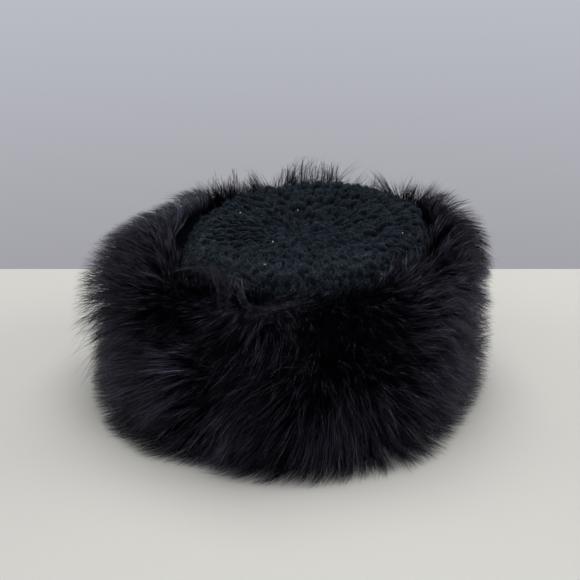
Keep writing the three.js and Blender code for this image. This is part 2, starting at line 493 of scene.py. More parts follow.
@dataclass
class HatForm:
    """The sizes that the cap and the fur share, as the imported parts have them."""

    crown_height: float = 110 * MM
    crown_radius: float = 82 * MM
    crown_tilt: float = 9 * MM
    tilt_azimuth: float = 55
    crown_lean: float = 14 * MM
    rim_roll: float = 11 * MM
    part_height: float = 57 * MM
    fur_depth: float = 46 * MM
    outline: list[OutlineRow] = field(
        default_factory=lambda: [
            OutlineRow(0, 0.97, 0.9, 0.84, 0.97),
            OutlineRow(30, 0.96, 0.88, 0.84, 0.94),
            OutlineRow(60, 0.88, 0.88, 0.74, 0.8),
            OutlineRow(90, 0.9, 0.88, 0.78, 0.85),
            OutlineRow(120, 0.96, 0.92, 0.84, 0.91),
            OutlineRow(150, 1.16, 1.02, 0.9, 0.97),
            OutlineRow(180, 1.62, 1.1, 0.9, 0.98),
            OutlineRow(210, 1.52, 1.18, 0.88, 0.95),
            OutlineRow(240, 1.16, 1.22, 0.88, 0.93),
            OutlineRow(270, 1.0, 1.22, 0.86, 0.9),
            OutlineRow(300, 0.96, 1.12, 0.84, 0.92),
            OutlineRow(330, 0.98, 0.98, 0.82, 0.94),
        ]
    )
    hem_radius: float = 0.0
    middle: tuple[float, float] = (0.0, 0.0)

    def __post_init__(self) -> None:
        """Reads where the hem stands, and its radius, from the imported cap."""
        low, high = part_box("crochet_cap")
        self.hem_radius = (high.x - low.x) / 2
        self.middle = ((low.x + high.x) / 2, (low.y + high.y) / 2)

    def column(self, azimuth: np.ndarray, name: str) -> np.ndarray:
        """Eases a column of the outline between its rows.

        Args:
            azimuth: azimuths in degrees.
            name: the column.

        Returns:
            The column's value at each azimuth.
        """
        rows = np.array([getattr(row, name) for row in self.outline])
        place = np.mod(azimuth, 360) * len(rows) / 360
        first = np.floor(place).astype(int)
        share = place - first
        ease = share * share * (3 - 2 * share)
        return rows[first % len(rows)] * (1 - ease) + rows[(first + 1) % len(rows)] * ease

    def crest(self, azimuth: np.ndarray) -> np.ndarray:
        """Gives the height of the crown's rim at azimuths."""
        tilt = np.cos(np.radians(azimuth - self.tilt_azimuth))
        return self.crown_height + self.crown_tilt * tilt

    def wall(self, azimuth: np.ndarray, height: np.ndarray) -> np.ndarray:
        """Gives the radius of the cap's side wall at azimuths and heights."""
        share = height / (self.crest(azimuth) - self.rim_roll)
        narrowed = (self.hem_radius - self.crown_radius) * np.clip(share, 0, 1)
        return self.hem_radius - narrowed

    def placed(self, radius: np.ndarray, azimuth: np.ndarray, height: np.ndarray) -> np.ndarray:
        """Places points with the lean of the whole hat.

        Args:
            radius: distances from the hat's leaning axis.
            azimuth: azimuths in degrees.
            height: heights over the table.

        Returns:
            The points, with the coordinates along the last axis.
        """
        angle = np.radians(azimuth)
        lean = self.crown_lean * height / self.crown_height
        x = self.middle[0] + lean + radius * np.cos(angle)
        y = self.middle[1] + radius * np.sin(angle)
        return np.stack(np.broadcast_arrays(x, y, height), axis=-1)


# Crocheted cap


@dataclass(frozen=True)
class CrownSpot:
    """A place on the cap: its azimuth, and its share of the way from the crown's middle."""

    azimuth: float
    travel: float


@dataclass
class CrochetedCap:
    """The crocheted cap: single crochet worked in rounds from the middle of the crown."""

    form: HatForm
    rounds: int = 12
    most_stitches: int = 48  # six more in each round until here
    bare_neck: float = 31 * MM  # from the rim's crest down to the last round that shows
    leg_radius: float = 2.4 * MM
    loop_radius: float = 1.5 * MM
    leg_lift: float = 0.8 * MM
    slack: float = 0.4  # how much the yarn's thickness changes over the crown
    slack_size: float = 15 * MM
    fuzz_count: int = 28000
    pale_fuzz_count: int = 15000
    fuzz_length: float = 3.8 * MM
    fuzz_radius: float = 0.17 * MM
    wander: float = 0.25  # how far the rounds stray, as a share of their width
    open_spot: CrownSpot = CrownSpot(192, 0.36)  # where the fabric is pulled open
    open_size: float = 32 * MM
    open_yarn: float = 0.42  # how much thinner the yarn is there
    open_fuzz: float = 0.92  # how much less fuzz it has there
    fleck_spots: tuple[CrownSpot, ...] = (
        CrownSpot(93, 0.3),
        CrownSpot(304, 0.2),
        CrownSpot(215, 0.23),
        CrownSpot(58, 0.8),
        CrownSpot(337, 0.66),
        CrownSpot(225, 0.76),
        CrownSpot(249, 0.61),
        CrownSpot(271, 0.6),
        CrownSpot(306, 0.78),
        CrownSpot(12, 0.74),
        CrownSpot(150, 0.5),
    )
    loop_spot: CrownSpot = CrownSpot(34, 0.32)
    seed: int = 11
    yarn_sides: int = 6
    azimuth_steps: int = 216
    travel_steps: int = 90
    yarn: WoolYarn = WoolYarn("wool_yarn_spun")
    # painted shade: the cap under the stitches is the same yarn drawn darker, for the shade between the
    # stitches
    shaded_backing_wool: WoolYarn = WoolYarn("wool_yarn_painted_shade_between_stitches", "#020406", "#0B1116")
    loose_wool: WoolYarn = WoolYarn("wool_fibres_loose", "#0A1017", "#1E2A36")
    pale_wool: WoolYarn = WoolYarn("wool_fibres_pale", "#3E4B52", "#6F7C82")

    def __post_init__(self) -> None:
        """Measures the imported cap's outside along many meridians."""
        self.random = np.random.default_rng(self.seed)
        self.measure()

    def measure(self) -> None:
        """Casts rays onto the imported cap, and keeps its outside as a grid of places that
        are even along the fabric, from the middle of the crown to the last round."""
        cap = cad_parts["crochet_cap"]
        tree = BVHTree.FromObject(cap, bpy.context.evaluated_depsgraph_get())
        form = self.form
        azimuths = np.arange(self.azimuth_steps) * 360 / self.azimuth_steps
        heart = Vector(form.placed(np.array(0.0), np.array(0.0), np.array(0.62 * form.crown_height)))
        far = 3 * form.hem_radius
        fans = np.radians(np.linspace(90, -12, 150))
        self.grid = np.zeros((self.azimuth_steps, self.travel_steps, 3))
        for row, azimuth in enumerate(azimuths):
            angle = math.radians(azimuth)
            line = []
            for fan in fans:
                way = Vector(
                    (
                        math.cos(fan) * math.cos(angle),
                        math.cos(fan) * math.sin(angle),
                        math.sin(fan),
                    )
                )
                hit = tree.ray_cast(heart + way * far, -way)[0]
                if hit is not None:
                    line.append(hit)
            path = np.array(line)
            lengths = np.concatenate([[0], np.cumsum(np.linalg.norm(np.diff(path, axis=0), axis=1))])
            floor = float(form.crest(np.array(azimuth))) - self.bare_neck
            last = np.interp(-floor, -path[40:, 2], lengths[40:])
            wanted = np.linspace(0, last, self.travel_steps)
            for axis in range(3):
                self.grid[row, :, axis] = np.interp(wanted, lengths, path[:, axis])
        around = np.roll(self.grid, -1, axis=0) - np.roll(self.grid, 1, axis=0)
        down = np.gradient(self.grid, axis=1)
        self.normals = unit(np.cross(down, around))
        self.normals[:, 0] = (0, 0, 1)

    def at(self, azimuth: np.ndarray, travel: np.ndarray) -> tuple[np.ndarray, np.ndarray]:
        """Gives places on the cap's outside.

        Args:
            azimuth: azimuths in degrees.
            travel: shares of the way from the middle of the crown to the last round.

        Returns:
            The points and the outward normals there.
        """
        row = np.mod(azimuth, 360) * self.azimuth_steps / 360
        column = np.clip(travel, 0, 1) * (self.travel_steps - 1)
        r0, c0 = np.floor(row).astype(int), np.floor(column).astype(int)
        c0 = np.minimum(c0, self.travel_steps - 2)
        a, b = (row - r0)[..., None], (column - c0)[..., None]
        r0, r1 = r0 % self.azimuth_steps, (r0 + 1) % self.azimuth_steps
        found = []
        for grid in (self.grid, self.normals):
            near = grid[r0, c0] * (1 - b) + grid[r0, c0 + 1] * b
            far = grid[r1, c0] * (1 - b) + grid[r1, c0 + 1] * b
            found.append(near * (1 - a) + far * a)
        return found[0], unit(found[1])

    def strand_paths(
        self, start: np.ndarray, end: np.ndarray, lift: float, sink: float, steps: int
    ) -> tuple[np.ndarray, np.ndarray]:
        """Lays short lengths of yarn over the fabric, sunk at their ends.

        Args:
            start: n by 2, azimuth and travel of one end.
            end: n by 2, azimuth and travel of the other end.
            lift: how high the middle stands over the fabric.
            sink: how deep the ends are under it.
            steps: points along each length.

        Returns:
            The centre points, and the fabric's normal at the middle of each length.
        """
        share = np.linspace(0, 1, steps)
        azimuth = start[:, :1] * (1 - share) + end[:, :1] * share
        travel = start[:, 1:] * (1 - share) + end[:, 1:] * share
        points, normals = self.at(azimuth, travel)
        height = -sink + (lift + sink) * np.sin(np.pi * share) ** 0.7
        return points + normals * height[None, :, None], normals[:, steps // 2]

    def stitch_rows(self) -> tuple[np.ndarray, np.ndarray, np.ndarray, np.ndarray]:
        """Lays out every stitch: two legs that open outwards, and the loop along its top.

        Returns:
            Both ends of the legs and both ends of the loops, as azimuth and travel.
        """
        leg_start, leg_end, loop_start, loop_end = [], [], [], []
        turn = 0.0
        for k in range(1, self.rounds + 1):
            count = min(6 * k, self.most_stitches)
            width = 360 / count
            turn += 0.37 * width
            low, high = (k - 1) / self.rounds, k / self.rounds
            for i in range(count):
                middle = turn + i * width + self.random.normal(0, 0.1 * width)
                stray = math.sin(math.radians(2 * middle) + 0.8 * k) + math.sin(
                    math.radians(5 * middle) - 1.3 * k
                )
                shift = 0.5 * self.wander * stray * min(1, k / 3)
                rough = self.random.normal(0, 0.1 / self.rounds, 4) + shift / self.rounds
                foot, head = low + 0.02 / self.rounds, high + 0.12 / self.rounds
                open_by = self.random.normal(0.38, 0.1)
                for side, extra in ((-1, rough[0]), (1, rough[1])):
                    leg_start.append((middle + side * 0.07 * width, foot + extra))
                    leg_end.append((middle + side * open_by * width, head + extra))
                loop_start.append((middle - 0.6 * width, high - 0.1 / self.rounds + rough[2]))
                loop_end.append((middle + 0.5 * width, high + 0.12 / self.rounds + rough[3]))
        return tuple(np.array(rows) for rows in (leg_start, leg_end, loop_start, loop_end))

    def openness(self, points: np.ndarray) -> np.ndarray:
        """Gives how far the fabric is pulled open at points, from 0 to 1."""
        heart = self.at(np.array(self.open_spot.azimuth), np.array(self.open_spot.travel))[0]
        return np.exp(-(((points - heart) / self.open_size) ** 2).sum(axis=1))

    def stitches(self) -> bpy.types.Object:
        """Builds all stitches as one mesh of closed lengths of yarn."""
        leg_start, leg_end, loop_start, loop_end = self.stitch_rows()
        legs, leg_normals = self.strand_paths(leg_start, leg_end, self.leg_lift, 1.2 * MM, 5)
        loops, loop_normals = self.strand_paths(loop_start, loop_end, 0.1 * MM, 1.2 * MM, 5)
        swell = np.array([0.62, 0.95, 1.05, 1.0, 0.68])
        paths = np.concatenate([legs, loops])
        normals = np.concatenate([leg_normals, loop_normals])
        base = np.concatenate(
            [np.full(len(legs), self.leg_radius), np.full(len(loops), self.loop_radius)]
        )
        slack = np.array([noise.noise(Vector(path[2]) / self.slack_size) for path in paths])
        uneven = self.random.normal(1, 0.1, len(paths)) + self.slack * slack
        uneven = uneven - self.open_yarn * self.openness(paths[:, 2])
        radii = (base * uneven)[:, None] * swell[None] * self.random.normal(1, 0.06, paths.shape[:2])
        paths = paths + normals[:, None] * self.random.normal(0, 0.7 * MM, len(paths))[:, None, None]
        points, faces = tubes(paths, radii, self.yarn_sides, False, normals)
        points += self.random.normal(0, 0.38 * MM, points.shape)
        self.yarn_paths, self.yarn_radii, self.yarn_normals = paths, radii, normals
        return add_mesh("crochet_stitches", points, faces, self.material, self.fibre_marks(paths, radii))

    def fibre_marks(self, paths: np.ndarray, radii: np.ndarray) -> dict[str, np.ndarray]:
        """Gives the yarn a place along and round it, so that its fibres can run lengthwise.

        Args:
            paths: n by k by 3 centre points of the lengths of yarn.
            radii: n by k radii.

        Returns:
            The attribute for add_mesh.
        """
        length = np.linalg.norm(paths[:, -1] - paths[:, 0], axis=1)
        along = np.linspace(0, 1, paths.shape[1])[None] * length[:, None]
        turns = np.arange(self.yarn_sides) * 2 * np.pi / self.yarn_sides
        start = self.random.uniform(0, 1, (len(paths), 1, 1))
        x = np.cos(turns)[None, None] * radii[:, :, None] + start
        y = np.sin(turns)[None, None] * radii[:, :, None] + start
        z = along[:, :, None] * self.yarn.fibre_stretch + 3 * start + 0 * x
        return {"fibre": np.stack([x, y, z], axis=-1).reshape(-1, 3)}

    def fuzz(
        self, name: str, count: int, thickness: float, rim: float, wool: WoolYarn
    ) -> bpy.types.Object:
        """Builds loose fibres that stand off the yarn.

        Args:
            name: the piece's name.
            count: how many fibres.
            thickness: the fibres' radius at the root, as a share of the usual one.
            rim: how many times denser they are on the worn front of the rim.
            wool: their finish.

        Returns:
            The piece.
        """
        middle = self.yarn_paths[:, 2]
        lean = np.array([self.form.crown_lean + self.form.middle[0], self.form.middle[1]])
        off = middle[:, :2] - lean
        at_rim = np.linalg.norm(off, axis=1) > 0.78 * self.form.crown_radius
        turn = np.degrees(np.arctan2(off[:, 1], off[:, 0])) % 360
        share = np.where(at_rim & (abs(turn - 248) < 62), rim, 1.0)
        share = share * (1 - self.open_fuzz * self.openness(middle))
        pick = self.random.choice(len(middle), count, p=share / share.sum())
        spot = self.random.integers(1, 4, count)
        centre = self.yarn_paths[pick, spot]
        loose = unit(self.random.normal(0, 1, (count, 3)) + 1.1 * self.yarn_normals[pick])
        root = centre + loose * (self.yarn_radii[pick, spot] * 0.8)[:, None]
        curl = unit(self.random.normal(0, 1, (count, 3)))
        length = self.fuzz_length * self.random.uniform(0.3, 1.1, count)[:, None]
        tip = root + length * unit(loose + 0.9 * curl)
        paths = np.stack([root, tip], axis=1)
        radii = np.tile(self.fuzz_radius * thickness * np.array([1, 0]), (count, 1))
        points, faces = tubes(paths, radii, 3, True, unit(np.cross(loose, curl)))
        return add_mesh(name, points, faces, wool.material())

    def flecks(self) -> bpy.types.Object:
        """Builds the few bright bits of tinsel caught in the wool, each a thin six-sided bead."""
        spots = self.fleck_spots
        centre, normal = self.at(
            np.array([spot.azimuth for spot in spots]), np.array([spot.travel for spot in spots])
        )
        centre = centre + normal * 3.6 * MM
        along = unit(self.random.normal(0, 1, centre.shape))
        half = self.random.uniform(0.3, 0.7, len(spots))[:, None] * MM
        share = np.array([-1, -0.4, 0.4, 1])[None, :, None]
        paths = centre[:, None] + along[:, None] * half[:, None] * share
        radii = np.tile(np.array([0.12, 0.38, 0.38, 0.12]) * MM, (len(spots), 1))
        hints = unit(np.cross(along, normal + 0.01))
        points, faces = tubes(paths, radii, 6, False, hints)
        tinsel = PlainSurface("tinsel_foil", "#F4F6FA", 0.25)
        return add_mesh("tinsel_flecks", points, faces, tinsel.material())

    def loose_loop(self) -> bpy.types.Object:
        """Builds the snagged loop of thin yarn that stands up behind the middle."""
        spot = self.loop_spot
        foot, normal = self.at(np.array(spot.azimuth), np.array(spot.travel))
        beside = unit(np.cross(normal, np.array([0.0, 1.0, 0.0])))
        turn = np.linspace(-0.2, 1.2, 13)[:, None] * np.pi
        tall, wide = 10 * MM, 2.2 * MM
        path = foot + normal * np.sin(turn) * tall - beside * np.cos(turn) * wide
        radii = np.full((1, 13), 0.6 * MM)
        hint = np.cross(normal, beside)[None]
        points, faces = tubes(path[None], radii, 6, False, hint)
        return add_mesh("snagged_loop", points, faces, self.loose_wool.material())

    def build(self) -> list[bpy.types.Object]:
        """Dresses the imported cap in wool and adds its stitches, fuzz and flecks.

        Returns:
            The new pieces.
        """
        self.material = self.yarn.material()
        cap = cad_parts["crochet_cap"]
        cap.data.materials.clear()
        # the cap gets the darker wool: painted shade between the stitches
        cap.data.materials.append(self.shaded_backing_wool.material())
        pieces = [
            self.stitches(),
            self.fuzz("yarn_fuzz", self.fuzz_count, 1.0, 1.0, self.loose_wool),
            self.fuzz("yarn_fuzz_pale", self.pale_fuzz_count, 0.7, 7.0, self.pale_wool),
            self.flecks(),
            self.loose_loop(),
        ]
        return pieces


# Fur


@dataclass(frozen=True)
class Stroke:
    """One stroke of the comb. height is a share of the crown's height. around leans the hair
    towards growing azimuth and up leans it up, both as slopes. spread is in degrees. fullness
    is the hair's length there and tone how light it is, as shares of what is usual. tone is
    mostly painted light and shade: low in hollows where shade falls, high where the hair
    should catch the light, with some real difference in the dye."""

    azimuth: float
    height: float
    around: float
    up: float
    spread: float = 16
    weight: float = 1.0
    fullness: float = 1.0
    # painted light and shade, with some real difference in the dye
    tone: float = 1.0


@dataclass(frozen=True)
class SectionPoint:
    """A point of a strip's section. out is a share of its depth, up of its height."""

    name: str
    out: float
    up: float


@dataclass(frozen=True)
class LockPoint:
    """A point that a swept lock passes: its azimuth, height and distance from the cap."""

    azimuth: float
    height: float
    out: float


@dataclass(frozen=True)
class SweptLock:
    """A lock of long hair that lies its own way over the coat."""

    points: tuple[LockPoint, ...]
    hairs: int
    strands: int
    width: float
    # the lock's painted light and shade: lighter where it should catch the light, darker where shade falls
    tone: float


@dataclass
class HairKind:
    """A kind of hair in the coat, and how much of it each strip has."""

    name: str
    count: int
    length: float
    radius: float
    points: int
    tightness: float  # how far the hairs of a tuft close up towards its tip
    stray: float  # how far each hair leaves its tuft, as a share of its length
    finish: DyedHair


@dataclass
class FurStrip:
    """A strip of long fur round the cap: dense underfur, and tufts of hair that it carries."""

    form: HatForm
    name: str
    node: str
    depth: str
    section: list[SectionPoint]
    rest_up: tuple[float, ...]  # the hair's slope up the section, from its first point on
    strokes: list[Stroke]
    seed: int
    first_root: float  # section share where hair begins
    last_root: float
    tufts: int = 2800
    dense: float = 0.52  # depth of the underfur as a share of the fur's depth
    silhouette: tuple[tuple[float, ...], tuple[float, ...]] = (
        (0, 0.5, 0.75, 0.95, 1.2, 1.4),  # up the strip
        (1, 1, 0.97, 0.9, 0.75, 0.5),  # the trimmed depth there
    )
    wisp: float = 6 * MM
    stand: float = 25 * MM  # full hair may stand a fifth of this over the crown's rim
    proud: float = 9.5 * MM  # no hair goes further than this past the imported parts,
    proud_share: float = 0.02  # with this share of their size
    pale_and_glint_share: float = 0.09  # hairs drawn much lighter: partly hairs that the dye took less, partly painted glints
    crest_extra: float = 0.0  # how much denser the hair grows on the strip's crest
    rest_weight: float = 0.25
    stroke_height: float = 0.12
    early_bend: float = 0.6  # below 1 the hairs turn with the comb close to their roots
    kinds: list[HairKind] = field(
        default_factory=lambda: [
            HairKind(
                "underfur",
                16200,
                27 * MM,
                0.17 * MM,
                3,
                0.18,
                0.16,
                DyedHair("fur_hair_fine", "#02040B", "#131219", 0.42),
            ),
            HairKind(
                "guard_hair",
                11800,
                41 * MM,
                0.19 * MM,
                4,
                0.32,
                0.1,
                DyedHair("fur_hair_guard", "#02040B", "#18171D", 0.27),
            ),
        ]
    )
    around_steps: int = 120
    section_steps: int = 28
    locks: tuple[SweptLock, ...] = ()
    lock_hair: float = 32 * MM
    lock_finish: DyedHair = DyedHair("fur_hair_faded", "#090A11", "#191A24", 0.3, 1.55, "#DEDDF6")

    def __post_init__(self) -> None:
        """Starts the strip's own row of random numbers and lays out its surface."""
        self.random = np.random.default_rng(self.seed)
        self.lay_surface()

    def foot(self, azimuth: np.ndarray) -> np.ndarray:
        """Gives the height of the strip's lower edge."""
        low = self.form.part_height if self.depth == "upper" else 0.0
        return np.full_like(azimuth, low, dtype=float)

    def top(self, azimuth: np.ndarray) -> np.ndarray:
        """Gives the height of the strip's upper edge."""
        if self.depth == "upper":
            return self.form.crest(azimuth) * self.form.column(azimuth, "top") - 5 * MM
        return np.full_like(azimuth, self.form.part_height, dtype=float)

    def lay_surface(self) -> None:
        """Works out the underfur's surface as a grid, azimuth by section."""
        form = self.form
        azimuth = np.arange(self.around_steps) * 360 / self.around_steps
        share = np.arange(self.section_steps) / self.section_steps
        out = np.array([point.out for point in self.section])
        up = np.array([point.up for point in self.section])
        out_s, up_s = smooth_loop(out, share), smooth_loop(up, share)
        out_s = np.maximum(out_s, 0)
        az = azimuth[:, None]
        foot, top = self.foot(azimuth)[:, None], self.top(azimuth)[:, None]
        height = foot + (top - foot) * up_s[None]
        height = np.maximum(height, 0.4 * MM if self.depth == "lower" else 0)
        depth = form.fur_depth * self.dense * form.column(az, self.depth)
        radius = form.wall(az, height) + 0.4 * MM + depth * out_s[None]
        self.azimuth, self.share = azimuth, share
        self.grid = form.placed(radius, np.broadcast_to(az, radius.shape), height)
        around = np.roll(self.grid, -1, axis=0) - np.roll(self.grid, 1, axis=0)
        along = np.roll(self.grid, -1, axis=1) - np.roll(self.grid, 1, axis=1)
        self.around, self.downward = unit(around), unit(along)
        self.normal = unit(np.cross(self.downward, self.around))

    def body(self) -> bpy.types.Object:
        """Builds the ring of dense underfur."""
        rows, columns = self.around_steps, self.section_steps
        i, j = np.meshgrid(np.arange(rows), np.arange(columns), indexing="ij")
        a = i * columns + j
        b = i * columns + (j + 1) % columns
        c = (i + 1) % rows * columns + (j + 1) % columns
        d = (i + 1) % rows * columns + j
        faces = np.stack([a, b, c, d], axis=-1).reshape(-1, 4)
        return add_mesh(f"{self.name}_underfur_bed", self.grid.reshape(-1, 3), faces, Underfur().material())

    def roots(self, count: int) -> dict[str, np.ndarray]:
        """Picks places on the underfur, evenly by area, where hairs or tufts grow.

        Args:
            count: how many places.

        Returns:
            For each place its point, normal, around and downward directions, azimuth and
            section share.
        """
        rows, columns = self.around_steps, self.section_steps
        next_row = np.roll(self.grid, -1, axis=0) - self.grid
        next_column = np.roll(self.grid, -1, axis=1) - self.grid
        area = np.linalg.norm(np.cross(next_row, next_column), axis=-1)
        grows = (self.share >= self.first_root) & (self.share <= self.last_root)
        crest = np.exp(-(((self.share - 0.33) / 0.09) ** 2))
        area = area * (grows * (1 + self.crest_extra * crest))[None]
        cell = self.random.choice(area.size, count, p=(area / area.sum()).ravel())
        i, j = cell // columns, cell % columns
        a, b = self.random.random(count), self.random.random(count)
        i1, j1 = (i + 1) % rows, (j + 1) % columns
        found = {}
        for name, grid in (
            ("point", self.grid),
            ("normal", self.normal),
            ("around", self.around),
            ("downward", self.downward),
        ):
            near = grid[i, j] * (1 - b)[:, None] + grid[i, j1] * b[:, None]
            far = grid[i1, j] * (1 - b)[:, None] + grid[i1, j1] * b[:, None]
            found[name] = near * (1 - a)[:, None] + far * a[:, None]
        found["azimuth"] = (i + a) * 360 / rows
        found["share"] = (j + b) / columns
        return found

    def comb(self, place: dict[str, np.ndarray]) -> np.ndarray:
        """Works out how the hair lies at places, from the strokes and from its rest slope.

        Args:
            place: places as roots() gives them.

        Returns:
            The slopes around and up, the fullness and the tone, n by 4; the tone is mostly painted light
            and shade.
        """
        knots = np.linspace(0, 1, len(self.rest_up))
        rest = np.interp(place["share"], knots, self.rest_up)
        total = np.full(len(rest), self.rest_weight)
        ones = np.ones(len(rest))
        plain = np.stack([0 * ones, rest, ones, ones], axis=-1)
        laid = plain * self.rest_weight
        height = place["point"][:, 2] / self.form.crown_height
        for stroke in self.strokes:
            turn = (place["azimuth"] - stroke.azimuth + 180) % 360 - 180
            gap = (turn / stroke.spread) ** 2 + ((height - stroke.height) / self.stroke_height) ** 2
            weight = stroke.weight * np.exp(-gap / 2)
            total += weight
            wanted = (stroke.around, stroke.up, stroke.fullness, stroke.tone)
            laid += weight[:, None] * np.array(wanted)
        return laid / total[:, None]

    def guides(self) -> dict[str, np.ndarray]:
        """Lays the tufts: where each grows, and the two directions that bend it."""
        place = self.roots(self.tufts)
        laid = self.comb(place)
        drift = np.array([noise.noise_vector(Vector(p) * 26) for p in place["point"]])
        slopes = laid[:, :2] + 0.5 * drift[:, :2] + self.random.normal(0, 0.12, (self.tufts, 2))
        lay = place["around"] * slopes[:, :1] - place["downward"] * slopes[:, 1:]
        place["first"] = unit(place["normal"] + 0.45 * lay)
        sag = np.array([0, 0, -0.15])
        place["last"] = unit(0.42 * place["normal"] + 1.15 * lay + sag)
        depth = self.form.column(place["azimuth"], self.depth) ** 0.75
        place["reach"] = laid[:, 2]
        place["length"] = depth * laid[:, 2] * self.random.normal(1, 0.07, self.tufts)
        # painted light and shade from the strokes, with a random tone for each tuft
        place["tone"] = laid[:, 3] * np.exp(self.random.normal(-0.05, 0.4, self.tufts))
        return place

    def inside(self, point: np.ndarray, reach: np.ndarray, spare: np.ndarray) -> np.ndarray:
        """Tells which points lie inside the fur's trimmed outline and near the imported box.

        Args:
            point: n by 3.
            reach: how far out each may go, as a share of the fur's depth.
            spare: how far each may stand over the outline.

        Returns:
            True or False for each point.
        """
        form = self.form
        lean = form.crown_lean * point[:, 2] / form.crown_height
        x, y = point[:, 0] - form.middle[0] - lean, point[:, 1] - form.middle[1]
        azimuth = np.degrees(np.arctan2(y, x))
        out = np.hypot(x, y) - form.wall(azimuth, point[:, 2])
        foot, top = self.foot(azimuth), self.top(azimuth)
        up = (point[:, 2] - foot) / (top - foot)
        depth = form.fur_depth * form.column(azimuth, self.depth)
        room = depth * reach * np.interp(up, *self.silhouette) + spare
        high = form.crest(azimuth) + (reach - 0.8) * self.stand + spare
        low_corner, high_corner = (np.array(corner) for corner in cad_box)
        past = self.proud + self.proud_share * (high_corner - low_corner) - spare[:, None] / 2
        boxed = np.all((point > low_corner - past) & (point < high_corner + past), axis=1)
        return (out < room) & (point[:, 2] < high) & boxed

    def trim(self, path: np.ndarray, reach: np.ndarray, wisp: np.ndarray) -> np.ndarray:
        """Trims hairs to the fur's outline, apart from the wisp that each leaves over it.

        Args:
            path: n by k by 3 points along the hairs.
            reach: how far out each hair may go, as a share of the fur's depth.
            wisp: the longest wisp of each hair.

        Returns:
            The trimmed paths.
        """
        root, tip = path[:, 0], path[:, -1]
        spare = wisp * self.random.uniform(0, 1, len(path))
        kept = np.full(len(path), 0.3)
        for share in np.linspace(0.3, 1, 22):
            kept = np.where(self.inside(root + (tip - root) * share, reach, spare), share, kept)
        return root[:, None] + (path - root[:, None]) * kept[:, None, None]

    def hair(self, kind: HairKind, guide: dict[str, np.ndarray]) -> bpy.types.Object:
        """Builds one kind of hair as a mesh of closed tapering hairs.

        Args:
            kind: the kind of hair.
            guide: the tufts that it grows in.

        Returns:
            The piece.
        """
        place = self.roots(kind.count)
        near = nearest(place["point"], guide["point"])
        spread = place["point"] - guide["point"][near]
        length = kind.length * guide["length"][near] * self.random.uniform(0.8, 1.08, kind.count)
        wild = self.random.random(kind.count) < 0.07
        share = np.linspace(0, 1, kind.points)[None, :, None]
        first = unit(guide["first"][near] + self.random.normal(0, 0.07, (kind.count, 3)))
        last = unit(guide["last"][near] + self.random.normal(0, kind.stray, (kind.count, 3)))
        step = length[:, None] / (kind.points - 1)
        spots = [place["point"]]
        for k in range(kind.points - 1):
            bent = ((k + 0.5) / (kind.points - 1)) ** self.early_bend
            spots.append(spots[-1] + step * unit(first * (1 - bent) + last * bent))
        path = np.stack(spots, axis=1)
        tight = kind.tightness * self.random.uniform(0.6, 1.3, kind.count)
        tight = np.where(wild, -0.4, tight)
        path = path - spread[:, None] * tight[:, None, None] * share**1.6
        path = settle(path, self.form.middle, 0.35 * MM, self.random)
        path = self.trim(path, guide["reach"][near], np.where(wild, self.wisp, 0.4 * self.wisp))
        taper = np.array({3: [1, 0.75, 0], 4: [1, 0.95, 0.62, 0]}[kind.points])
        radii = kind.radius * self.random.uniform(0.7, 1.15, kind.count)[:, None] * taper[None]
        hints = unit(self.random.normal(0, 1, (kind.count, 3)))
        points, faces = tubes(path, radii, 3, True, hints)
        ring = 3 * (kind.points - 1) + 1
        # a few hairs drawn much lighter: partly paler dye, partly painted glints
        pale_and_glint_hairs = np.where(self.random.random(kind.count) < self.pale_and_glint_share, 8, 0.62)
        tone = guide["tone"][near] * pale_and_glint_hairs * self.random.uniform(0.4, 1.7, kind.count)
        tone = np.repeat(tone, ring)
        along = np.concatenate([np.repeat(np.linspace(0, 1, kind.points)[:-1], 3), [1]])
        marks = {"tone": tone, "along": np.tile(along, kind.count)}
        return add_mesh(f"{self.name}_{kind.name}", points, faces, kind.finish.material(), marks)

    def lock_line(self, lock: SweptLock) -> np.ndarray:
        """Draws the smooth line that a lock follows, as 61 points."""
        azimuth = np.array([point.azimuth for point in lock.points])
        height = np.array([point.height for point in lock.points])
        out = np.array([point.out for point in lock.points])
        corners = self.form.placed(self.form.wall(azimuth, height) + out, azimuth, height)
        place = np.linspace(0, len(corners) - 1, 61)
        line = np.stack([np.interp(place, range(len(corners)), column) for column in corners.T], 1)
        for _ in range(6):
            line[1:-1] = (line[:-2] + 2 * line[1:-1] + line[2:]) / 4
        return line

    def swept(self) -> bpy.types.Object:
        """Builds the swept locks: each hair follows its lock's line for a part of the way."""
        paths, painted_light_and_tones = [], []
        rings = 5
        for lock in self.locks:
            line = self.lock_line(lock)
            length = np.linalg.norm(np.diff(line, axis=0), axis=1).sum()
            reach = self.lock_hair / length * self.random.uniform(0.5, 1.1, lock.hairs)
            start = self.random.uniform(0, 0.8, lock.hairs)
            place = np.clip(start[:, None] + reach[:, None] * np.linspace(0, 1, rings), 0, 1.06)
            knots = np.linspace(0, 1, len(line))
            path = np.stack([np.interp(place, knots, column) for column in line.T], axis=-1)
            beyond = np.maximum(place - 1, 0)[..., None] * length
            path = path + beyond * unit(line[-1] - line[-4])
            strand = self.random.normal(0, lock.width / 2, (lock.strands, 1, 3))
            shift = strand[self.random.integers(0, lock.strands, lock.hairs)]
            shift = shift + self.random.normal(0, 0.35 * MM, (lock.hairs, 1, 3))
            frizz = self.random.normal(0, 0.07, (lock.hairs, 1, 3)) * self.lock_hair
            path = path + shift + frizz * np.linspace(0, 1, rings)[None, :, None] ** 2
            ceiling = cad_box[1][2] + self.proud - self.random.uniform(0, 6 * MM, lock.hairs)
            path[:, :, 2] = np.minimum(path[:, :, 2], ceiling[:, None])
            paths.append(path)
